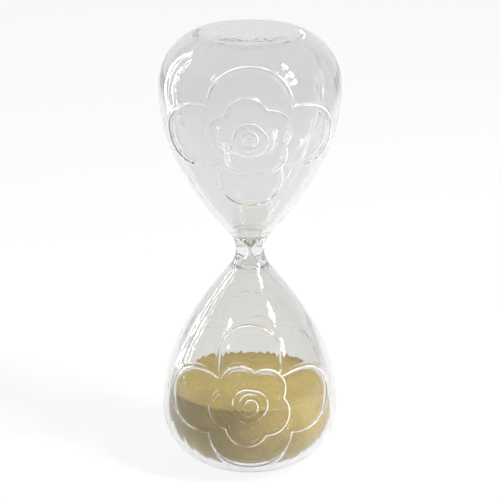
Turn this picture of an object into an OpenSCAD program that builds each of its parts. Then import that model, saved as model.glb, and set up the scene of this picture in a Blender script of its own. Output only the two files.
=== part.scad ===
// Frameless blown-glass hourglass: two sealed bulbs with a moulded flower on the front and the
// back of each, fused to a thick glass throat, with sand inside.
// Millimetres, +Z up. The origin is the centre of the flat end that it stands on, and the glass
// turns about the Z axis. Every bulb outline is drawn from the middle of the neck outwards.

/* [Overall] */
// Height over the two flat ends
height = 220; // [180:1:260]
// Largest radius of a bulb, without the flower
bulb_r = 44.2; // [42:0.1:46]

/* [Bulb outline] */
// Radius of the rounded shoulder between a bulb's side and its flat end
shoulder_r = 28.6; // [26:0.1:31]
// Radius of the small edge round a flat end
rim_r = 4; // [3:0.25:5]
// Radius of the long curve below a bulb's widest point
side_r = 82.5; // [78:0.5:88]
// Angle that the long curve turns through
side_turn = 27; // [25:0.5:29]
// Angle that the flatter curve down to the neck turns through
taper_turn = 15; // [13:0.5:17]

/* [Neck] */
// Outer radius of the neck at its narrowest
neck_r = 7; // [6:0.25:9]
// Radius of the hollow curve round the outside of the neck
neck_curve_r = 13; // [10:0.5:16]
// Radius of the hole that the sand runs through
bore_r = 0.75; // [0.6:0.05:1.2]
// Radius of the curve where the funnel meets that hole
funnel_curve_r = 8; // [6:0.5:9]

/* [Glass] */
// Wall of the bulbs
wall = 3; // [2:0.1:3.6]
// Wall of the flat ends
end_wall = 4; // [3:0.1:5]
// Radius of the filling hole, closed by a fused glass button
fill_hole_r = 4; // [3:0.25:6]

/* [Flower] */
// Distance of a flower's heart from the middle of the neck
heart_z = 66; // [62:0.5:70]
// Petals in the middle ring
petals = 5; // [5:1:7]
// How far each ring of petals stands higher than the one outside it
ring_step = 0.65; // [0.3:0.05:0.7]

/* [Sand] */
// Height of the sand's level top above the base
sand_level = 40.6; // [20:0.2:60]
// Radius of a loose grain
grain_r = 0.3; // [0.2:0.05:0.35]
// Number of loose grains in the throat
grains = 6; // [3:1:8]

/* [Hidden] */
$fn = 96;

half_h = height / 2;
neck_turn = side_turn + taper_turn;

// The side, taper and neck curves run into each other, which sets the taper's radius
taper_r = (bulb_r - neck_r - side_r * (1 - cos(side_turn)) - neck_curve_r * (1 - cos(neck_turn)))
          / (cos(side_turn) - cos(neck_turn));

// Joint between throat and bulb: where the hollow neck curve ends
joint_z = neck_curve_r * sin(neck_turn);
joint_r = neck_r + neck_curve_r * (1 - cos(neck_turn));

// Widest point, and the centres of the four outline curves
belly_z = joint_z + taper_r * (sin(neck_turn) - sin(side_turn)) + side_r * sin(side_turn);
shoulder_x = bulb_r - shoulder_r;
side_x = bulb_r - side_r;
taper_x = joint_r - taper_r * cos(neck_turn);
taper_z = joint_z + taper_r * sin(neck_turn);
rim_z = half_h - rim_r;
rim_x = shoulder_x + sqrt(pow(shoulder_r - rim_r, 2) - pow(rim_z - belly_z, 2));
rim_turn = atan2(rim_z - belly_z, rim_x - shoulder_x);

// Inside of a flat end, with its own small curve
inner_rim_r = 5;
inner_rim_z = half_h - end_wall - inner_rim_r;
inner_rim_x = shoulder_x
              + sqrt(pow(shoulder_r - wall - inner_rim_r, 2) - pow(inner_rim_z - belly_z, 2));
inner_rim_turn = atan2(inner_rim_z - belly_z, inner_rim_x - shoulder_x);

// Funnel: a straight cone from the throat's curve, met by an arc from the side of the bulb
funnel_r = bore_r + funnel_curve_r * (1 - cos(neck_turn));
funnel_z = funnel_curve_r * sin(neck_turn);
cone_r_at_joint = funnel_r + (joint_z - funnel_z) * tan(neck_turn);
inner_side_r = side_r - wall;
inner_side_end = [side_x + inner_side_r * cos(side_turn), belly_z - inner_side_r * sin(side_turn)];
inner_taper_r = ((inner_side_end[1] - funnel_z) * sin(neck_turn)
                 - (inner_side_end[0] - funnel_r) * cos(neck_turn)) / (1 - cos(taper_turn));
inner_taper_x = inner_side_end[0] - inner_taper_r * cos(side_turn);
inner_taper_z = inner_side_end[1] + inner_taper_r * sin(side_turn);

// Flower: a ring of large petals, a ring of smaller ones on it and a bud, as lists of round
// petals [angle about the heart, distance from it, radius]; -90 is away from the neck
outer_petals = [[-90, 13.5, 20], [180, 22, 16.5], [0, 22, 16.5], [90, 20, 17]];
middle_petals = [for (i = [0 : petals - 1]) [-98 + 360 * i / petals, 9.6, 11]];
bud = [[0, 0, 9]];
flower_rings = [outer_petals, middle_petals, bud];
cut = 1; // overshoot of a cutting body

// Sand
sand_gap = 0.05;      // between sand and glass
sand_top = sand_level - half_h;
grain_pitch = 0.7;    // rise from one loose grain to the next
grain_offset = 0.3;   // of each loose grain from the axis
grain_turn = 110;     // from one loose grain to the next
pinch_z = [1.6, 4.8]; // bottom and top of the sand left in the funnel
pinch_hole_r = 0.8;   // way that it leaves for the loose grains

glass_colour = [0.86, 0.9, 0.9, 0.45];
sand_colour = [0.8, 0.71, 0.5];

function arc(x, z, r, from, to, steps) =
    [for (i = [0 : steps]) let (a = from + (to - from) * i / steps) [x + r * cos(a), z + r * sin(a)]];

// Outside of a bulb, grown outwards by rise
function outside(rise) = concat(
    [[0, half_h + rise]],
    arc(rim_x, rim_z, rim_r + rise, 90, rim_turn, 4),
    arc(shoulder_x, belly_z, shoulder_r + rise, rim_turn, 0, 10),
    arc(side_x, belly_z, side_r + rise, 0, -side_turn, 10),
    arc(taper_x, taper_z, taper_r + rise, -side_turn, -neck_turn, 6),
    [[0, joint_z - rise * sin(neck_turn)]]);

// Inside of a bulb, from its flat end to the cone, shrunk inwards by gap
function inside(gap) = concat(
    [[0, half_h - end_wall - gap]],
    arc(inner_rim_x, inner_rim_z, inner_rim_r - gap, 90, inner_rim_turn, 4),
    arc(shoulder_x, belly_z, shoulder_r - wall - gap, inner_rim_turn, 0, 10),
    arc(side_x, belly_z, inner_side_r - gap, 0, -side_turn, 10),
    arc(inner_taper_x, inner_taper_z, inner_taper_r - gap, -side_turn, -neck_turn, 6));

// Radius of the funnel's curved wall at height z above the middle of the neck
function throat_wall_r(z) =
    bore_r + funnel_curve_r - sqrt(pow(funnel_curve_r, 2) - pow(z, 2));

module in_neck_frame() {
    translate([0, 0, half_h]) children();
}

module petal_ring(ring) {
    rotate([90, 0, 0])
        linear_extrude(height = 4 * bulb_r, center = true)
            for (petal = ring)
                translate([petal[1] * cos(petal[0]), heart_z - petal[1] * sin(petal[0])])
                    circle(r = petal[2]);
}

// One bulb, neck down: the blown outline with the flower raised on it, less the chamber
module blown_bulb() {
    difference() {
        union() {
            rotate_extrude() polygon(outside(0));
            for (i = [0 : len(flower_rings) - 1])
                intersection() {
                    rotate_extrude() polygon(outside((i + 1) * ring_step));
                    petal_ring(flower_rings[i]);
                }
        }
        rotate_extrude()
            polygon(concat(inside(0), [
                [cone_r_at_joint - cut * tan(neck_turn), joint_z - cut],
                [0, joint_z - cut]]));
    }
}

module upper_bulb() {
    color(glass_colour) in_neck_frame() blown_bulb();
}

module lower_bulb() {
    color(glass_colour)
        difference() {
            in_neck_frame() mirror([0, 0, 1]) blown_bulb();
            translate([0, 0, -cut]) cylinder(r = fill_hole_r, h = end_wall + 2 * cut);
        }
}

// Thick glass between the bulbs, with a funnel at each end of the hole
module neck_throat() {
    color(glass_colour)
        in_neck_frame()
            rotate_extrude()
                polygon(concat(
                    arc(neck_r + neck_curve_r, 0, neck_curve_r, 180 + neck_turn, 180 - neck_turn, 16),
                    [[cone_r_at_joint, joint_z]],
                    arc(bore_r + funnel_curve_r, 0, funnel_curve_r,
                        180 - neck_turn, 180 + neck_turn, 16),
                    [[cone_r_at_joint, -joint_z]]));
}

// Glass button that closes the filling hole, level with the base and domed inside
module fill_seal() {
    dome_h = 1.2;
    dome_r = (pow(fill_hole_r, 2) + pow(dome_h, 2)) / (2 * dome_h);
    color(glass_colour) {
        cylinder(r = fill_hole_r, h = end_wall);
        translate([0, 0, end_wall])
            intersection() {
                translate([0, 0, dome_h - dome_r]) sphere(r = dome_r);
                cylinder(r = fill_hole_r, h = dome_h);
            }
    }
}

// The sand that has run through, level on top, with a hollow over the glass button
module sand_heap() {
    button_r = fill_hole_r + sand_gap;
    color(sand_colour)
        difference() {
            intersection() {
                in_neck_frame()
                    mirror([0, 0, 1])
                        rotate_extrude() polygon(concat(inside(sand_gap), [[0, joint_z]]));
                translate([0, 0, end_wall]) cylinder(r = 2 * bulb_r, h = sand_level - end_wall);
            }
            translate([0, 0, end_wall]) cylinder(r = button_r, h = 1.4);
        }
}

// Pinch of sand left on the wall of the upper funnel
module throat_sand() {
    steps = 6;
    wall_points = [for (i = [0 : steps])
        let (z = pinch_z[0] + (pinch_z[1] - pinch_z[0]) * i / steps) [throat_wall_r(z) - sand_gap, z]];
    color(sand_colour)
        in_neck_frame()
            rotate_extrude()
                polygon(concat([[pinch_hole_r, pinch_z[0]]], wall_points,
                               [[pinch_hole_r, pinch_z[1] - 0.6]]));
}

// Loose grains, one above another, which drop through the hole to the heap
module falling_grains() {
    color(sand_colour)
        in_neck_frame()
            for (i = [0 : grains - 1])
                rotate([0, 0, grain_turn * i])
                    translate([grain_offset, 0, grain_pitch * i])
                        sphere(r = grain_r);
}

upper_bulb();
lower_bulb();
neck_throat();
fill_seal();
sand_heap();
throat_sand();
falling_grains();
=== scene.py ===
import math

import bmesh
import bpy
import numpy as np
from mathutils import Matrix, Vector


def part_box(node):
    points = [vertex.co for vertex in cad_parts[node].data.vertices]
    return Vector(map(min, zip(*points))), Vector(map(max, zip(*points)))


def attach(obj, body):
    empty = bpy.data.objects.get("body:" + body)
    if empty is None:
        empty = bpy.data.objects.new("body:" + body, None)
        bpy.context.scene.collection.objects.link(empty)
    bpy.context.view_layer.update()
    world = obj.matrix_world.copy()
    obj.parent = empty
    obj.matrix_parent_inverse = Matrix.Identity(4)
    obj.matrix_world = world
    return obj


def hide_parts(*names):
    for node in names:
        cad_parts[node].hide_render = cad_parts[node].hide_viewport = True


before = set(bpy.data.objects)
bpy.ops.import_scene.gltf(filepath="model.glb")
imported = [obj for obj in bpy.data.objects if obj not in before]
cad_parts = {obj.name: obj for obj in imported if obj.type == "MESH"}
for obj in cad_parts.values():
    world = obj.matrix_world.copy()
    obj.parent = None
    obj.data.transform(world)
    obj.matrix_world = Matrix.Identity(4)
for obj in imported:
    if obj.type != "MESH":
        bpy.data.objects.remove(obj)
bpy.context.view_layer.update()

# A frameless blown-glass hourglass. Its glass is built here with the moulded flowers that the CAD
# model only blocks out, and its sand with grains. Shapes are in millimetres, and heights whose
# names end in _Z are measured from the middle of the neck; MM turns them into Blender's metres.
# The studio's lights, floor and camera are in metres.
MM = 0.001

# ---------------------------------------------------------------- sizes taken from the frame
HEIGHT = (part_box("upper_bulb")[1].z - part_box("lower_bulb")[0].z) / MM
HALF_H = HEIGHT / 2
BULB_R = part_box("upper_bulb")[1].x / MM
SAND_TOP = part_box("sand_heap")[1].z / MM
SEAL_R, SEAL_TOP = (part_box("fill_seal")[1][axis] / MM for axis in (0, 2))
PINCH_LOW, PINCH_HIGH = (corner.z / MM - HALF_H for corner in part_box("throat_sand"))

# ---------------------------------------------------------------- the CAD's outline of the glass
SHOULDER_R = 28.6
RIM_R = 4.0
SIDE_R = 82.5
SIDE_TURN = math.radians(27)
TAPER_TURN = math.radians(15)
NECK_R = 7.0
NECK_CURVE_R = 13.0
BORE_R = 0.75
FUNNEL_CURVE_R = 8.0
WALL = 3.0
END_WALL = 4.0
INNER_RIM_R = 5.0
HEART_Z = 66.0

NECK_TURN = SIDE_TURN + TAPER_TURN
TAPER_R = ((BULB_R - NECK_R - SIDE_R * (1 - math.cos(SIDE_TURN))
            - NECK_CURVE_R * (1 - math.cos(NECK_TURN)))
           / (math.cos(SIDE_TURN) - math.cos(NECK_TURN)))
JOINT_Z = NECK_CURVE_R * math.sin(NECK_TURN)
JOINT_R = NECK_R + NECK_CURVE_R * (1 - math.cos(NECK_TURN))
BELLY_Z = (JOINT_Z + TAPER_R * (math.sin(NECK_TURN) - math.sin(SIDE_TURN))
           + SIDE_R * math.sin(SIDE_TURN))
SHOULDER_X = BULB_R - SHOULDER_R
SIDE_X = BULB_R - SIDE_R
FUNNEL_R = BORE_R + FUNNEL_CURVE_R * (1 - math.cos(NECK_TURN))
FUNNEL_Z = FUNNEL_CURVE_R * math.sin(NECK_TURN)
CONE_R_AT_JOINT = FUNNEL_R + (JOINT_Z - FUNNEL_Z) * math.tan(NECK_TURN)
ARC_STEP = 0.3  # between the points of an outline


def arc(x, z, radius, start, stop, step=ARC_STEP):
    """Points [r, z] along an arc, about step apart."""
    count = max(2, math.ceil(abs(stop - start) * radius / step))
    a = np.linspace(start, stop, count + 1)
    return np.column_stack((x + radius * np.cos(a), z + radius * np.sin(a)))


def corner_arc(z, radius, bulb_shoulder_r):
    """Centre x of the small curve round a flat end, and the angle where it meets the shoulder."""
    x = SHOULDER_X + math.sqrt((bulb_shoulder_r - radius) ** 2 - (z - BELLY_Z) ** 2)
    return x, math.atan2(z - BELLY_Z, x - SHOULDER_X)


def outside():
    """A bulb's outer outline, from the centre of its flat end to the joint with the throat."""
    rim_z = HALF_H - RIM_R
    rim_x, turn = corner_arc(rim_z, RIM_R, SHOULDER_R)
    taper_x = JOINT_R - TAPER_R * math.cos(NECK_TURN)
    taper_z = JOINT_Z + TAPER_R * math.sin(NECK_TURN)
    return np.vstack((
        [[0.0, HALF_H]],
        arc(rim_x, rim_z, RIM_R, math.pi / 2, turn),
        arc(SHOULDER_X, BELLY_Z, SHOULDER_R, turn, 0)[1:],
        arc(SIDE_X, BELLY_Z, SIDE_R, 0, -SIDE_TURN)[1:],
        arc(taper_x, taper_z, TAPER_R, -SIDE_TURN, -NECK_TURN)[1:]))


def inside(gap=0.0):
    """A bulb's inner outline, from its flat end to the end of the cone, shrunk inwards by gap."""
    rim_z = HALF_H - END_WALL - INNER_RIM_R
    rim_x, turn = corner_arc(rim_z, INNER_RIM_R, SHOULDER_R - WALL)
    side_r = SIDE_R - WALL
    end = (SIDE_X + side_r * math.cos(SIDE_TURN), BELLY_Z - side_r * math.sin(SIDE_TURN))
    taper_r = (((end[1] - FUNNEL_Z) * math.sin(NECK_TURN)
                - (end[0] - FUNNEL_R) * math.cos(NECK_TURN)) / (1 - math.cos(TAPER_TURN)))
    taper_x = end[0] - taper_r * math.cos(SIDE_TURN)
    taper_z = end[1] + taper_r * math.sin(SIDE_TURN)
    return np.vstack((
        [[0.0, HALF_H - END_WALL - gap]],
        arc(rim_x, rim_z, INNER_RIM_R - gap, math.pi / 2, turn),
        arc(SHOULDER_X, BELLY_Z, SHOULDER_R - WALL - gap, turn, 0)[1:],
        arc(SIDE_X, BELLY_Z, side_r - gap, 0, -SIDE_TURN)[1:],
        arc(taper_x, taper_z, taper_r - gap, -SIDE_TURN, -NECK_TURN)[1:],
        [[CONE_R_AT_JOINT - gap, JOINT_Z]]))


def distances(line):
    return np.r_[0, np.cumsum(np.hypot(*np.diff(line, axis=0).T))]


def line_length(line):
    return distances(line)[-1]


def at_stops(line, stops):
    """The outline's points at those distances along it, and their outward normals."""
    along = distances(line)

    def at(where):
        return np.column_stack([np.interp(where, along, line[:, k]) for k in (0, 1)])

    tangent = at(stops + ARC_STEP / 2) - at(stops - ARC_STEP / 2)
    tangent /= np.linalg.norm(tangent, axis=1)[:, None]
    return at(stops), np.column_stack((-tangent[:, 1], tangent[:, 0]))


# ---------------------------------------------------------------- the seal and the sand
SEAL_GAP = 0.04  # between the seal's side and its hole
SAND_GAP = 0.08  # between the sand and the glass
SAND_EDGE = 0.3  # height of the rounded edge of the sand's level top
DUNE, SMALL_DUNE = 0.16, 0.07  # rises and hollows of that top
SAND_SINK = 0.23  # the two together: keeps the rises below the CAD's top
SEAL_CLEAR = 0.2  # between the seal and the sand over it
PINCH_HOLE_R = 0.8  # way down through the sand left in the upper funnel
PINCH_COUNT = 90
PINCH_GRAIN_R = (0.14, 0.24)
PINCH_CLEAR = 0.06  # between its grains and the wall
PINCH_LOWER = 1.4  # more than 1 puts more of the grains low down
PINCH_TOUCH, PINCH_HANG = 0.8, 0.6  # shares of a radius kept clear of other grains and the way
# The falling grains: each is a pitch higher than the last and a turn further round
GRAIN_R, GRAIN_SHOWN = 0.3, 0.97  # radius in the CAD, and the share of it that is shown
GRAIN_PITCH = 0.7
GRAIN_OFFSET = 0.3  # from the axis
GRAIN_TURN = math.radians(110)

# ---------------------------------------------------------------- the moulded flower
# Petals as (angle in degrees, distance from the heart, half length, half width)
OUTER_PETALS = [(-90, 14.0, 21.2, 21.2), (180, 26.0, 20.5, 16.0), (0, 26.0, 20.5, 16.0),
                (90, 20.5, 19.0, 16.0)]
MIDDLE_PETALS = [(-98 + 72 * i, 9.8, 11.2, 11.0) for i in range(5)]
BUD_PETALS = [(140 + 120 * i, 1.6, 7.6, 7.6) for i in range(3)]
# Rings of petals, lowest first, with the height of their rim, how far their blades sink towards
# the heart, over what distance, and the drop from their broad border to the blade inside it
FLOWER = [(OUTER_PETALS, 0.55, 0.45, 17.0, 0.12), (MIDDLE_PETALS, 0.8, 0.35, 9.0, 0.4),
          (BUD_PETALS, 0.9, 0.5, 4.5, 0.0)]
BORDER_W, DROP_W = 2.6, 1.0
BORDER_PAINTED_SHINE, SHINE_W = 0.97, 0.45  # how much painted highlight the edge of that drop gets, as a share of a rim's, and its width
HEART_R, CURL, CURL_PITCH = 7.4, 0.3, 3.0  # the rolled heart inside the bud: a low spiral
HEART_SOFT = 1.5  # over which the spiral comes in, at its middle and at its edge
EDGE_W = 0.5  # across the step at a petal's edge
BEAD, BEAD_W = 0.45, 0.6  # height and half width of the round bead along it
GROOVE, GROOVE_OUT, GROOVE_W = 0.15, 0.6, 0.5  # the hollow just outside it
CREASE, CREASE_W = 0.25, 0.9  # between two petals of a ring
CREASE_START, CREASE_END = 2.0, 8.0  # its depths inside the petal's edge
RIB, RIB_PITCH, RIB_START = 0.035, 3.4, 2.0  # faint ribs that follow the edge over each blade
BACK, BACK_SOFT = 0.4, 4.0  # height and edge width of the back flower beside the front's; the height share also dims its painted highlight

# Distances to the nearest edge of a petal, which set how finely the glass is divided
FAR = 99.0
OWN_EDGE = 2.0  # past this depth inside a petal, the edges under it no longer count
BORDER_NEAR, HEART_NEAR = 1.1, 0.9  # the least that the border and the spiral count for
BACK_NEAR = 1.0  # added on the back, whose soft edges need no finest cells
FINE_NEAR, MIDDLE_NEAR = 1.0, 1.6  # nearer than these, cells are divided by four and by two


def smooth(t):
    t = np.clip(t, 0, 1)
    return t * t * (3 - 2 * t)


def bump(t):
    return np.exp(-t * t)


def petal_depth(petal, u, v):
    """How far inside a petal's edge a point is, in millimetres."""
    angle, distance, half_l, half_w = petal
    a = math.radians(angle)
    p = u * math.cos(a) + v * math.sin(a) - distance
    q = v * math.cos(a) - u * math.sin(a)
    rho = np.sqrt((p / half_l) ** 2 + (q / half_w) ** 2)
    return np.hypot(p, q) * (1 / np.maximum(rho, 1e-6) - 1)


def flower(u, v, soft=1.0):
    """Height of the relief at u across and v towards the neck from a flower's heart, how much
    painted highlight it has there (0 to 1), on the beads, the borders' edges and the heart's
    spiral, and the distance to the nearest edge that shows. A ring of petals has a beaded rim
    and creases between its petals, and its blades sink towards the heart, under the next ring.
    soft widens the edges."""
    height, painted_highlights, near = np.zeros_like(u), np.zeros_like(u), np.full_like(u, FAR)
    bead_w = BEAD_W * soft
    for petals, rim, fall, reach, drop in FLOWER:
        depths = np.sort([petal_depth(petal, u, v) for petal in petals], axis=0)
        depth = depths[-1]
        between = bump((depth - depths[-2]) / CREASE_W)
        across = np.clip(1 - ((depth - bead_w) / bead_w) ** 2, 0, 1) ** (soft / 2)
        top = rim - fall * smooth(depth / reach) + BEAD * across
        creased = smooth(depth / CREASE_START) * (1 - smooth(depth / CREASE_END))
        ribbed = smooth((depth - RIB_START) / RIB_START)
        top = top - CREASE * between * creased
        top = top + RIB * np.sin(depth * 2 * math.pi / RIB_PITCH) * ribbed
        top = top - drop * smooth((depth - BORDER_W) / DROP_W + 0.5)
        height = height - GROOVE * bump((depth / soft + GROOVE_OUT) / GROOVE_W)
        over = smooth(depth / (EDGE_W * soft) + 0.5)
        height = height + (top - height) * over
        # painted highlight: along the bead, and along the edge of the drop inside a petal's border
        edge = BORDER_PAINTED_SHINE * bump((depth - BORDER_W) / SHINE_W) if drop else 0.0
        painted_highlights = painted_highlights + (np.maximum(across, edge) - painted_highlights) * over
        border = np.maximum(np.abs(depth - BORDER_W), BORDER_NEAR)
        near = np.where(depth > OWN_EDGE, np.minimum(depth, border),
                        np.minimum(near, np.abs(depth)))
    r = np.hypot(u, v)
    curl = np.sin(2 * math.pi * r / CURL_PITCH + np.arctan2(v, u)) * smooth(r / HEART_SOFT)
    inside_bud = smooth((HEART_R - r) / HEART_SOFT)
    height = height + CURL * curl * inside_bud
    # painted highlight along the crests of the heart's spiral
    painted_highlights = np.maximum(painted_highlights, smooth((curl - 0.2) / 0.8) * inside_bud)
    near = np.minimum(near, HEART_NEAR + np.maximum(r - HEART_R, 0))
    return height, painted_highlights, near


# ---------------------------------------------------------------- the unevenness of blown glass
FLUTE, FINE_FLUTE, WAVE = 0.02, 0.015, 0.03
RIPPLE = 0.065  # the three together: half of the way from the highest to the lowest


def ripple(angles, v, phase):
    """Gentle unevenness, from twice RIPPLE below the surface up to it: long flutes, finer ones
    and a slow wave, with v the distance along the outline."""
    return (FLUTE * np.sin(14 * angles + 0.8 * np.sin(v / 25 + phase) + phase)
            + FINE_FLUTE * np.sin(34 * angles + 1.5 * np.sin(v / 19 - phase))
            + WAVE * np.sin(v / 8 + 1.5 * np.sin(3 * angles + phase)) - RIPPLE)


# ---------------------------------------------------------------- mesh building
def placed(name, data):
    """A new object of the scene."""
    made = bpy.data.objects.new(name, data)
    bpy.context.scene.collection.objects.link(made)
    return made


def new_piece(name, points, faces):
    """A closed smooth mesh with its faces turned outwards, from points in millimetres."""
    mesh = bpy.data.meshes.new(name)
    mesh.from_pydata((np.asarray(points) * MM).tolist(), [], faces)
    shape = bmesh.new()
    shape.from_mesh(mesh)
    bmesh.ops.recalc_face_normals(shape, faces=shape.faces)
    shape.to_mesh(mesh)
    shape.free()
    mesh.shade_smooth()
    return placed(name, mesh)


def give(piece, *materials):
    for material in materials:
        piece.data.materials.append(material)


def turned(points, normals, angles, lift=0.0):
    """Rows of 3-D points: the outline turned through angles from the front, and lifted."""
    r = points[:, :1] + normals[:, :1] * lift
    z = points[:, 1:] + normals[:, 1:] * lift + 0 * angles
    return np.stack((r * np.sin(angles), -r * np.cos(angles), z), axis=-1)


def joined(row, other):
    """Quads between two closed rows, given the indices of their points."""
    return np.column_stack((row, np.roll(row, -1), np.roll(other, -1), other)).tolist()


def quads(first, second, count):
    """The same for rows of points that follow on from first and from second."""
    return joined(np.arange(first, first + count), np.arange(second, second + count))


def fan(pole, first, count):
    return [[pole, first + i, first + (i + 1) % count] for i in range(count)]


COLUMNS = 240  # round the axis, before the cells are divided
THROAT_COLUMNS, SEAL_COLUMNS, SAND_COLUMNS = 128, 64, 240
DIVIDED = 4  # finest cells along one side of a coarse cell
CELL = 1.1  # height of a coarse cell along the outline
FLAT_S = 20.9  # distance along the outline that the flat end's own rings take
FLAT_RINGS = np.array([0.0, 7.0, 14.0])
INNER_FLAT_RINGS, INNER_START, INNER_ROWS = [0.0, 8.0, 16.0], 23.0, 64
# Relief and unevenness come in over the second distance, outwards from the first radius
OUTER_FADE, INNER_FADE = (11.0, 5.0), (8.0, 6.0)
END_FADE = 2.0  # and over this height below a flat end


def faded(points, end_z, fade):
    """How much of the relief there is at each point of an outline."""
    return (smooth((points[:, :1] - fade[0]) / fade[1])
            * smooth((end_z - points[:, 1:]) / END_FADE))


def outer_points(line, rows, columns, phase):
    """Points of the outer surface at the finest cells' corners, how much painted highlight each
    has, and their distances to a petal's edge."""
    angles = np.arange(columns) * (2 * math.pi / columns)
    along = np.linspace(FLAT_S, line_length(line), rows + 1)
    points, normals = at_stops(line, along)
    v = (along - np.interp(-HEART_Z, -points[:, 1], along))[:, None] + 0 * angles
    u = points[:, :1] * ((angles + math.pi / 2) % math.pi - math.pi / 2)
    front = np.cos(angles) > 0
    height, painted_highlights, near = (np.where(front, at_front, at_back) for at_front, at_back in
                          zip(flower(u, v), flower(u, v, BACK_SOFT)))
    # the back flower keeps a share of its height and of its painted highlight
    strength = np.where(front, 1.0, BACK)
    height, painted_highlights = height * strength, painted_highlights * strength
    fade = faded(points, HALF_H, OUTER_FADE)
    near = np.where(front, near, near + BACK_NEAR)
    lift = (height + ripple(angles, v, phase) * points[:, :1] / BULB_R) * fade
    return turned(points, normals, angles, lift), painted_highlights * fade, near


def inner_points(angles, phase):
    """Rows of points of the chamber's wall, whose unevenness only goes into the glass."""
    line = inside()
    along = np.r_[INNER_FLAT_RINGS, np.linspace(INNER_START, line_length(line), INNER_ROWS)]
    points, normals = at_stops(line, along)
    fade = faded(points, HALF_H - END_WALL, INNER_FADE)
    lift = ripple(angles, along[:, None], phase + 2.0) + 2 * RIPPLE
    return turned(points, normals, angles, lift * fade * points[:, :1] / BULB_R)


def widened(cells):
    """A mask of cells grown by one cell each way; the columns wrap round."""
    rows = np.pad(cells, ((1, 1), (0, 0)))
    tall = rows[:-2] | rows[1:-1] | rows[2:]
    return tall | np.roll(tall, 1, axis=1) | np.roll(tall, -1, axis=1)


def blocks(values, size):
    """The least value in each block of size by size."""
    rows, columns = values.shape
    return values.reshape(rows // size, size, columns // size, size).min(axis=(1, 3))


def cells_near_edges(near):
    """Cells as (row, column, size) in finest steps, small along the petals' edges and larger
    elsewhere, with no cell touching one less than half its size."""
    fine = blocks(near[:-1], 2) < FINE_NEAR
    middle = widened(~blocks(~fine, 2)) | (blocks(near[:-1], 4) < MIDDLE_NEAR)
    cells = [(r * 4, c * 4, 4) for r, c in np.argwhere(~middle)]
    inner = np.repeat(np.repeat(middle, 2, axis=0), 2, axis=1)
    cells += [(r * 2, c * 2, 2) for r, c in np.argwhere(inner & ~fine)]
    for r, c in np.argwhere(fine):
        cells += [(r * 2 + i, c * 2 + j, 1) for i in (0, 1) for j in (0, 1)]
    return cells


def cell_faces(cells, rows, columns):
    """One face for each cell, through every corner on its outline, with a mask of the finest
    cells' corners that they use and each such corner's number."""
    used = np.zeros((rows + 1, columns), bool)
    for r, c, size in cells:
        used[r, c] = used[r + size, c] = True
        used[r, (c + size) % columns] = used[r + size, (c + size) % columns] = True
    index = np.cumsum(used).reshape(used.shape) - 1
    faces = []
    for r, c, size in cells:
        h = size // 2
        ring = [(r, c), (r, c + h), (r, c + size), (r + h, c + size), (r + size, c + size),
                (r + size, c + h), (r + size, c), (r + h, c)]
        face = [int(index[i, j % columns]) for k, (i, j) in enumerate(ring)
                if k % 2 == 0 or (h and used[i, j % columns])]
        faces.append(face)
    return faces, used, index


def bulb(name, sign, phase):
    """One bulb, closed at its joint with the throat by a ring of faces of its second material.
    sign is 1 for the upper bulb and -1 for the lower."""
    line = outside()
    rows = DIVIDED * round((line_length(line) - FLAT_S) / CELL)
    columns = DIVIDED * COLUMNS
    surface, painted_highlights, near = outer_points(line, rows, columns, phase)
    faces, used, index = cell_faces(cells_near_edges(near), rows, columns)
    outer = surface[used]
    first_row, last_row = (index[r, ::DIVIDED] for r in (0, rows))

    angles = np.arange(COLUMNS) * (2 * math.pi / COLUMNS)
    flat = turned(*at_stops(line, FLAT_RINGS), angles)
    inner = inner_points(angles, phase)
    parts = [outer, flat[1:].reshape(-1, 3), flat[0, :1], inner[1:].reshape(-1, 3), inner[0, :1]]
    starts = np.cumsum([0] + [len(part) for part in parts])
    ring_1, ring_2 = starts[1], starts[1] + COLUMNS
    faces += quads(ring_1, ring_2, COLUMNS) + fan(starts[2], ring_1, COLUMNS)
    faces += joined(np.arange(ring_2, ring_2 + COLUMNS), first_row)
    for row in range(len(inner) - 2):
        faces += quads(starts[3] + row * COLUMNS, starts[3] + (row + 1) * COLUMNS, COLUMNS)
    faces += fan(starts[4], starts[3], COLUMNS)
    seam_start = len(faces)
    faces += joined(last_row, np.arange(starts[4] - COLUMNS, starts[4]))
    points = np.vstack(parts)
    points[:, 2] = HALF_H + sign * points[:, 2]
    piece = new_piece(name, points, faces)
    # the painted highlight along the petals' edges, kept on the points for the glass material
    painted_highlight_map = piece.data.attributes.new("rim", "FLOAT", "POINT")
    painted_highlight_map.data.foreach_set("value", np.r_[painted_highlights[used], np.zeros(len(points) - len(outer))])
    give(piece, GLASS, SEAM)
    mark_seam(piece, np.arange(len(faces)) >= seam_start)
    return piece


def mark_seam(piece, seam):
    """Gives the seam faces the second material, and keeps them out of the walls' smooth shading."""
    piece.data.polygons.foreach_set("material_index", seam.astype(np.int32))
    piece.data.polygons.foreach_set("use_smooth", ~seam)


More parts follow.
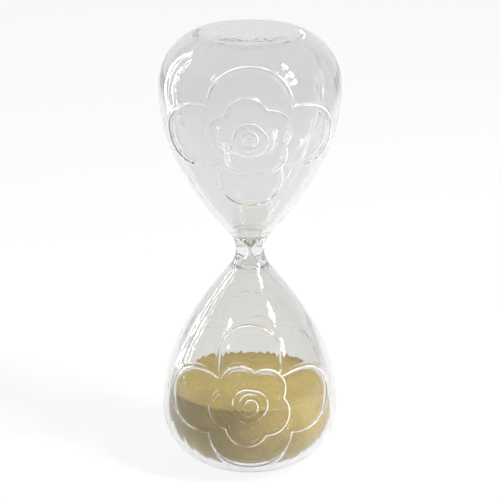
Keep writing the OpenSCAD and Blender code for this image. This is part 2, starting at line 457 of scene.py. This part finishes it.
def throat():
    """The thick glass between the bulbs, closed at both joints by rings of seam faces."""
    low, high = math.pi + NECK_TURN, math.pi - NECK_TURN
    outer = arc(NECK_R + NECK_CURVE_R, 0, NECK_CURVE_R, low, high, 0.4)
    funnel = arc(BORE_R + FUNNEL_CURVE_R, 0, FUNNEL_CURVE_R, high, low, 0.25)
    cone = np.linspace(0, 1, 8)[:-1, None]
    ends = [np.array([[CONE_R_AT_JOINT, z]]) for z in (JOINT_Z, -JOINT_Z)]
    inner = np.vstack((ends[0] + (funnel[0] - ends[0]) * cone, funnel,
                       (ends[1] + (funnel[-1] - ends[1]) * cone)[::-1]))
    angles = np.linspace(0, 2 * math.pi, THROAT_COLUMNS, endpoint=False)
    outline = np.vstack((outer, inner))
    points = turned(outline, np.zeros_like(outline), angles).reshape(-1, 3)
    points[:, 2] += HALF_H
    count, rows = len(angles), len(outline)
    faces, seam = [], []
    for row in range(rows):
        faces += quads(row * count, (row + 1) % rows * count, count)
        seam += [row in (len(outer) - 1, rows - 1)] * count
    piece = new_piece("throat_glass", points, faces)
    give(piece, GLASS, SEAM)
    mark_seam(piece, np.array(seam))
    return piece


def lathe(name, outline, columns, lift=None):
    """A solid turned from an outline that starts and ends on the axis."""
    angles = np.linspace(0, 2 * math.pi, columns, endpoint=False)
    points = turned(outline, np.zeros_like(outline), angles)
    if lift is not None:
        points[..., 2] += lift(points[..., 0], points[..., 1], points[..., 2])
    faces = fan(0, 1, columns)
    for row in range(len(outline) - 3):
        faces += quads(1 + row * columns, 1 + (row + 1) * columns, columns)
    last = 1 + (len(outline) - 2) * columns
    faces += fan(last, last - columns, columns)
    points = np.vstack((points[0, :1], points[1:-1].reshape(-1, 3), points[-1, :1]))
    return new_piece(name, points, faces)


def seal():
    """The fused glass button in the filling hole: flat below, domed above."""
    radius = SEAL_R - SEAL_GAP
    low, corner = 0.02, 0.3
    dome = [[radius * math.cos(a), END_WALL + (SEAL_TOP - END_WALL) * math.sin(a)]
            for a in np.linspace(0, math.pi / 2, 10)[:-1]]
    base = [[0, low], [radius / 2, low], [radius - corner, low], [radius, low + corner]]
    outline = np.array(base + dome + [[0, SEAL_TOP]])
    piece = lathe("fill_seal_glass", outline, SEAL_COLUMNS)
    give(piece, GLASS)
    return piece


def sand_surface(x, y):
    """Small rises and hollows of the sand's level top."""
    return (DUNE * np.sin(x / 6.1 + 1.1 * np.sin(y / 8.3)) * np.sin(y / 7.2 + 0.6)
            + SMALL_DUNE * np.sin(x / 2.3 + y / 3.1) * np.sin(y / 2.7 - x / 4.9))


def sand():
    """The sand in the lower bulb: the chamber's shape up to a nearly level top."""
    chamber = inside(SAND_GAP)[1:] * (1, -1) + (0, HALF_H)
    shoulder_z = SAND_TOP - SAND_EDGE
    edge = np.interp(shoulder_z, chamber[:, 1], chamber[:, 0])
    wall = np.vstack((chamber[chamber[:, 1] < shoulder_z], [[edge, shoulder_z]]))
    wall = at_stops(wall, np.linspace(0, line_length(wall), 60))[0]
    over_seal = SEAL_TOP + SEAL_CLEAR
    floor = [[0, over_seal], [SEAL_R, over_seal], [SEAL_R + 1.0, wall[0, 1]]]
    floor += [[r, wall[0, 1]] for r in np.arange(SEAL_R + 3.0, wall[0, 0] - 1, 3.0)]
    top = [[edge - 0.15, SAND_TOP - 0.08]]
    top += [[r, SAND_TOP] for r in np.arange(edge - 0.6, 0.5, -0.7)]
    outline = np.vstack((floor, wall, top, [[0, SAND_TOP]]))

    def lift(x, y, z):
        near_top = smooth((z - SAND_TOP + 0.4) / SAND_EDGE)
        clear_of_glass = smooth((edge - np.hypot(x, y)) / 2.5)
        return (sand_surface(x, y) - SAND_SINK) * near_top * clear_of_glass

    piece = lathe("sand_bed", outline, SAND_COLUMNS, lift)
    give(piece, SAND)
    return piece


CUTS = 5  # flattened sides of a grain
CUT_DEPTH = 0.8  # distance from its centre, in radii, past which it is flattened
CUT_SHARE = 0.8  # and how much of what is past that goes
STRETCH = 0.22  # most that a grain is shortened along an axis


def grain(shape, rng, centre, radius):
    """Adds one angular grain of sand to a bmesh."""
    made = bmesh.ops.create_icosphere(shape, subdivisions=2, radius=1.0)["verts"]
    stretch = 1 - rng.random(3) * STRETCH
    cuts = rng.normal(size=(CUTS, 3))
    cuts /= np.linalg.norm(cuts, axis=1)[:, None]
    turn = rng.random() * math.tau
    for vert in made:
        p = np.array(vert.co)
        for cut in cuts:
            p -= cut * max(0.0, p @ cut - CUT_DEPTH) * CUT_SHARE
        p *= stretch
        x = p[0] * math.cos(turn) - p[1] * math.sin(turn)
        y = p[0] * math.sin(turn) + p[1] * math.cos(turn)
        vert.co = (Vector((x, y, p[2])) * radius + Vector(centre)) * MM


def grain_piece(name, grains, seed):
    """A piece made of separate grains, each given as (centre, radius)."""
    rng = np.random.default_rng(seed)
    shape = bmesh.new()
    for centre, radius in grains:
        grain(shape, rng, centre, radius)
    mesh = bpy.data.meshes.new(name)
    shape.to_mesh(mesh)
    shape.free()
    mesh.shade_smooth()
    piece = placed(name, mesh)
    give(piece, SAND)
    return piece


def throat_wall_r(z):
    return BORE_R + FUNNEL_CURVE_R - math.sqrt(FUNNEL_CURVE_R ** 2 - z * z)


def pinch_grains():
    """Grains left on the wall of the upper funnel, clear of the way down its middle."""
    rng = np.random.default_rng(7)
    found = []
    while len(found) < PINCH_COUNT:
        radius = rng.uniform(*PINCH_GRAIN_R)
        room_up = PINCH_HIGH - PINCH_LOW - 2 * radius
        z = PINCH_LOW + radius + rng.random() ** PINCH_LOWER * room_up
        outer_r = throat_wall_r(z) - radius - PINCH_CLEAR
        r = outer_r - rng.random() * max(0.0, outer_r - PINCH_HOLE_R - radius)
        if r < PINCH_HOLE_R + radius * PINCH_HANG:
            continue
        a = rng.random() * math.tau
        centre = np.array((r * math.cos(a), r * math.sin(a), HALF_H + z))
        if all(np.linalg.norm(centre - c) > (radius + s) * PINCH_TOUCH for c, s in found):
            found.append((centre, radius))
    return found


def loose_grains():
    """The falling grains, each where the CAD has it and a little smaller: a turning column."""
    low, high = (corner.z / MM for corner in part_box("falling_grains"))
    steps = round((high - low - 2 * GRAIN_R) / GRAIN_PITCH)
    return [((GRAIN_OFFSET * math.cos(GRAIN_TURN * i), GRAIN_OFFSET * math.sin(GRAIN_TURN * i),
              low + GRAIN_R + GRAIN_PITCH * i), GRAIN_R * GRAIN_SHOWN) for i in range(steps + 1)]


# ---------------------------------------------------------------- materials
PAINTED_RIM_CLEAR, PAINTED_RIM_CLEAREST = 0.45, 0.95  # share of light that a rim lets through, from place to place; the rest goes milky white, a painted highlight
FLOOR_GLOW, FRONT_GLOW = 0.9, 0.6  # of the floor at the glass, and well in front of it
SIDE_GLOW = 0.55  # share of it that is left far out at the sides


def new_material(name):
    """A material whose node tree has only an output, with that tree and its output."""
    material = bpy.data.materials.new(name)
    material.use_nodes = True
    tree = material.node_tree
    tree.nodes.clear()
    return material, tree, add_node(tree, "OutputMaterial")


def add_node(tree, kind, values=None):
    """A new shader node, with the values of its inputs by their names."""
    node = tree.nodes.new("ShaderNode" + kind)
    for name, value in (values or {}).items():
        node.inputs[name].default_value = value
    return node


def smooth_range(tree, start, stop, first, last):
    """A node that turns a value between start and stop into one between first and last."""
    node = add_node(tree, "MapRange", {"From Min": start, "From Max": stop,
                                       "To Min": first, "To Max": last})
    node.interpolation_type = "SMOOTHSTEP"
    return node


def wire(tree, *wires):
    """Links nodes, each wire given as (node, its output, node, its input)."""
    for source, output, target, socket in wires:
        tree.links.new(source.outputs[output], target.inputs[socket])


def glass_material():
    """Clear, faintly grey blown glass with a fine unevenness, with a painted highlight along the
    petals' edges, where the glass is partly milky white.
    """
    material, tree, out = new_material("clear_blown_glass")
    shader = add_node(tree, "BsdfPrincipled", {
        "Base Color": (0.855, 0.86, 0.858, 1), "Roughness": 0.0, "IOR": 1.5})
    place = add_node(tree, "TexCoord")
    along = add_node(tree, "Mapping", {"Scale": (380, 380, 95)})
    noise = add_node(tree, "TexNoise", {"Scale": 1.0, "Detail": 1.0})
    relief = add_node(tree, "Bump", {"Strength": 0.2, "Distance": 0.0003})
    # painted highlight: where the rim attribute is high, less light goes through and the rest is
    # milky white, broken up from place to place by noise
    painted_highlight_map = add_node(tree, "Attribute")
    painted_highlight_map.attribute_name = "rim"
    broken_highlight = add_node(tree, "TexNoise", {"Scale": 90.0})
    least = add_node(tree, "MapRange", {"From Min": 0.42, "From Max": 0.58,
                                        "To Min": PAINTED_RIM_CLEAR, "To Max": PAINTED_RIM_CLEAREST})
    clear = add_node(tree, "MapRange", {"From Min": 0.75, "To Min": 1.0})
    wire(tree,
         (place, "Object", along, "Vector"),
         (along, "Vector", noise, "Vector"),
         (noise, "Fac", relief, "Height"),
         (relief, "Normal", shader, "Normal"),
         (place, "Object", broken_highlight, "Vector"),
         (broken_highlight, "Fac", least, "Value"),
         (least, "Result", clear, "To Max"),
         (painted_highlight_map, "Fac", clear, "Value"),
         (clear, "Result", shader, "Transmission Weight"),
         (shader, "BSDF", out, "Surface"))
    return material


def seam_material():
    """Where two pieces of glass are fused there is no surface to see."""
    material, tree, out = new_material("fused_seam")
    wire(tree, (add_node(tree, "BsdfTransparent"), "BSDF", out, "Surface"))
    return material


def sand_material():
    """Fine beige quartz sand: pale and dark grains under a broader drift of colour."""
    material, tree, out = new_material("beige_sand")
    shader = add_node(tree, "BsdfPrincipled", {"Roughness": 0.9})
    place = add_node(tree, "TexCoord")
    grains = add_node(tree, "TexVoronoi", {"Scale": 2600.0})
    drift = add_node(tree, "TexNoise", {"Scale": 60.0, "Detail": 4.0})
    grain_ramp = add_node(tree, "ValToRGB")
    dark, pale = grain_ramp.color_ramp.elements
    dark.color = (0.46, 0.32, 0.09, 1)
    pale.color = (0.73, 0.58, 0.215, 1)
    middle = grain_ramp.color_ramp.elements.new(0.5)
    middle.color = (0.61, 0.46, 0.145, 1)
    drift_ramp = add_node(tree, "ValToRGB")
    dull, full = drift_ramp.color_ramp.elements
    dull.position, full.position = 0.3, 0.7
    dull.color = (0.80, 0.78, 0.76, 1)
    full.color = (1, 1, 1, 1)
    mix = add_node(tree, "Mix")
    mix.data_type, mix.blend_type = "RGBA", "MULTIPLY"
    mix.inputs["Factor"].default_value = 1.0
    relief = add_node(tree, "Bump", {"Strength": 0.5, "Distance": 0.0002})
    wire(tree,
         (place, "Object", grains, "Vector"),
         (place, "Object", drift, "Vector"),
         (grains, "Color", grain_ramp, "Fac"),
         (drift, "Fac", drift_ramp, "Fac"),
         (grain_ramp, "Color", mix, "A"),
         (drift_ramp, "Color", mix, "B"),
         (mix, "Result", shader, "Base Color"),
         (grains, "Distance", relief, "Height"),
         (relief, "Normal", shader, "Normal"),
         (shader, "BSDF", out, "Surface"))
    return material


def floor_material():
    """A pale lit table: mostly its own light, so that shadows stay faint."""
    material, tree, out = new_material("pale_floor")
    matt = add_node(tree, "BsdfDiffuse", {"Color": (0.06, 0.06, 0.06, 1)})
    glow = add_node(tree, "Emission")
    place = add_node(tree, "TexCoord")
    parts = add_node(tree, "SeparateXYZ")
    depth = smooth_range(tree, -0.30, -0.05, FRONT_GLOW, FLOOR_GLOW)
    across = add_node(tree, "Math")
    across.operation = "ABSOLUTE"
    width = smooth_range(tree, 0.36, 0.70, 1.0, SIDE_GLOW)
    both_ways = add_node(tree, "Math")
    both_ways.operation = "MULTIPLY"
    both = add_node(tree, "AddShader")
    wire(tree,
         (place, "Object", parts, "Vector"),
         (parts, "Y", depth, "Value"),
         (parts, "X", across, 0),
         (across, "Value", width, "Value"),
         (depth, "Result", both_ways, 0),
         (width, "Result", both_ways, 1),
         (both_ways, "Value", glow, "Strength"),
         (matt, "BSDF", both, 0),
         (glow, "Emission", both, 1),
         (both, "Shader", out, "Surface"))
    return material


# ---------------------------------------------------------------- the studio
STRIP_RADIANCE, WINDOW_RADIANCE, KEY_RADIANCE = 11.0, 12.0, 580.0
# Three small bright panes in a column, high at the right, facing the glass
KEY_PLACE, KEY_STEP = Vector((0.68, -0.38, 0.74)), 0.24
KEY_UP = (Vector((0, 0, 1)) - KEY_PLACE * KEY_PLACE.z / KEY_PLACE.length_squared).normalized()
BACKDROP_GLOW = (0.42, 0.85)  # of the room in front of the glass, and behind it
FLOOR_REACH, FLOOR_DROP = 4.0, 0.0002

# The photograph's view: the distance and the height of its aim are in heights of the hourglass
SENSOR_MM, LENS_MM = 36.0, 125.2
CAMERA_AWAY, CAMERA_AIM = 3.902, 0.497
CAMERA_PITCH = math.radians(18.12)


def panel(name, place, aim, size, radiance):
    """A soft light of that radiance, from place towards aim, with size as (width, height)."""
    light = bpy.data.lights.new(name, "AREA")
    light.shape = "RECTANGLE"
    light.size, light.size_y = size
    light.energy = radiance * math.pi * size[0] * size[1]
    lamp = placed(name, light)
    lamp.location = place
    lamp.rotation_euler = (Vector(aim) - Vector(place)).to_track_quat("-Z", "Y").to_euler()


def room():
    """Even light from all round, brighter behind the glass than in front of it."""
    world = bpy.data.worlds.new("soft_room")
    bpy.context.scene.world = world
    world.use_nodes = True
    tree = world.node_tree
    background = tree.nodes["Background"]
    background.inputs["Color"].default_value = (1, 1, 1, 1)
    place = add_node(tree, "TexCoord")
    parts = add_node(tree, "SeparateXYZ")
    backdrop = smooth_range(tree, 0.1, 0.9, *BACKDROP_GLOW)
    wire(tree,
         (place, "Generated", parts, "Vector"),
         (parts, "Y", backdrop, "Value"),
         (backdrop, "Result", background, "Strength"))


def lights():
    """Two tall strips at the left, behind the glass, and windows high at the right and left."""
    middle = Vector((0, 0, HEIGHT * MM / 2))
    panel("left_panel", (-0.44, 0.30, 0.15), middle, (0.03, 0.9), STRIP_RADIANCE)
    panel("left_strip", (-0.52, 0.16, 0.15), middle, (0.02, 0.9), STRIP_RADIANCE)
    for i in range(3):
        shift = KEY_UP * KEY_STEP * (i - 1)
        panel(f"key_pane_{i + 1}", KEY_PLACE + shift, middle + shift, (0.05, 0.12), KEY_RADIANCE)
    panel("left_window", (-0.75, -0.65, 0.80), middle, (0.12, 0.2), WINDOW_RADIANCE)


def lay_floor():
    mesh = bpy.data.meshes.new("floor")
    corners = [(-1, -1), (1, -1), (1, 1), (-1, 1)]
    mesh.from_pydata([(x * FLOOR_REACH, y * FLOOR_REACH, 0) for x, y in corners], [],
                     [(0, 1, 2, 3)])
    table = placed("floor", mesh)
    table.location.z = -FLOOR_DROP
    give(table, floor_material())


def camera():
    """The photograph's view: from the front and a little above, with a long lens."""
    data = bpy.data.cameras.new("camera")
    data.sensor_width, data.lens, data.clip_end = SENSOR_MM, LENS_MM, 20
    view = placed("camera", data)
    height = HEIGHT * MM
    away = CAMERA_AWAY * height
    view.location = (0, -away * math.cos(CAMERA_PITCH),
                     CAMERA_AIM * height + away * math.sin(CAMERA_PITCH))
    view.rotation_euler = (math.pi / 2 - CAMERA_PITCH, 0, 0)
    bpy.context.scene.camera = view


def render_settings():
    """Light paths long enough for every wall of glass on the way, and the plain view."""
    scene = bpy.context.scene
    scene.view_settings.view_transform = "Standard"
    scene.cycles.max_bounces = 64
    scene.cycles.transmission_bounces = 64
    scene.cycles.glossy_bounces = 64
    scene.cycles.transparent_max_bounces = 32
    scene.cycles.sample_clamp_indirect = 12.0
    scene.cycles.use_denoising = True


# ---------------------------------------------------------------- making the hourglass
GLASS = glass_material()
SEAM = seam_material()
SAND = sand_material()

camera()
for piece, node, body, slot in [
        (bulb("upper_bulb_glass", 1, 0.4), "upper_bulb", "glass", "glass"),
        (bulb("lower_bulb_glass", -1, 2.3), "lower_bulb", "glass", "glass"),
        (throat(), "neck_throat", "glass", "glass"),
        (seal(), "fill_seal", "glass", "glass"),
        (sand(), "sand_heap", "glass", "sand"),
        (grain_piece("funnel_grains", pinch_grains(), 11), "throat_sand", "glass", "sand"),
        (grain_piece("loose_sand_grains", loose_grains(), 12), "falling_grains", "loose_grains",
         "sand")]:
    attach(piece, body)
    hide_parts(node)
room()
lights()
lay_floor()
render_settings()
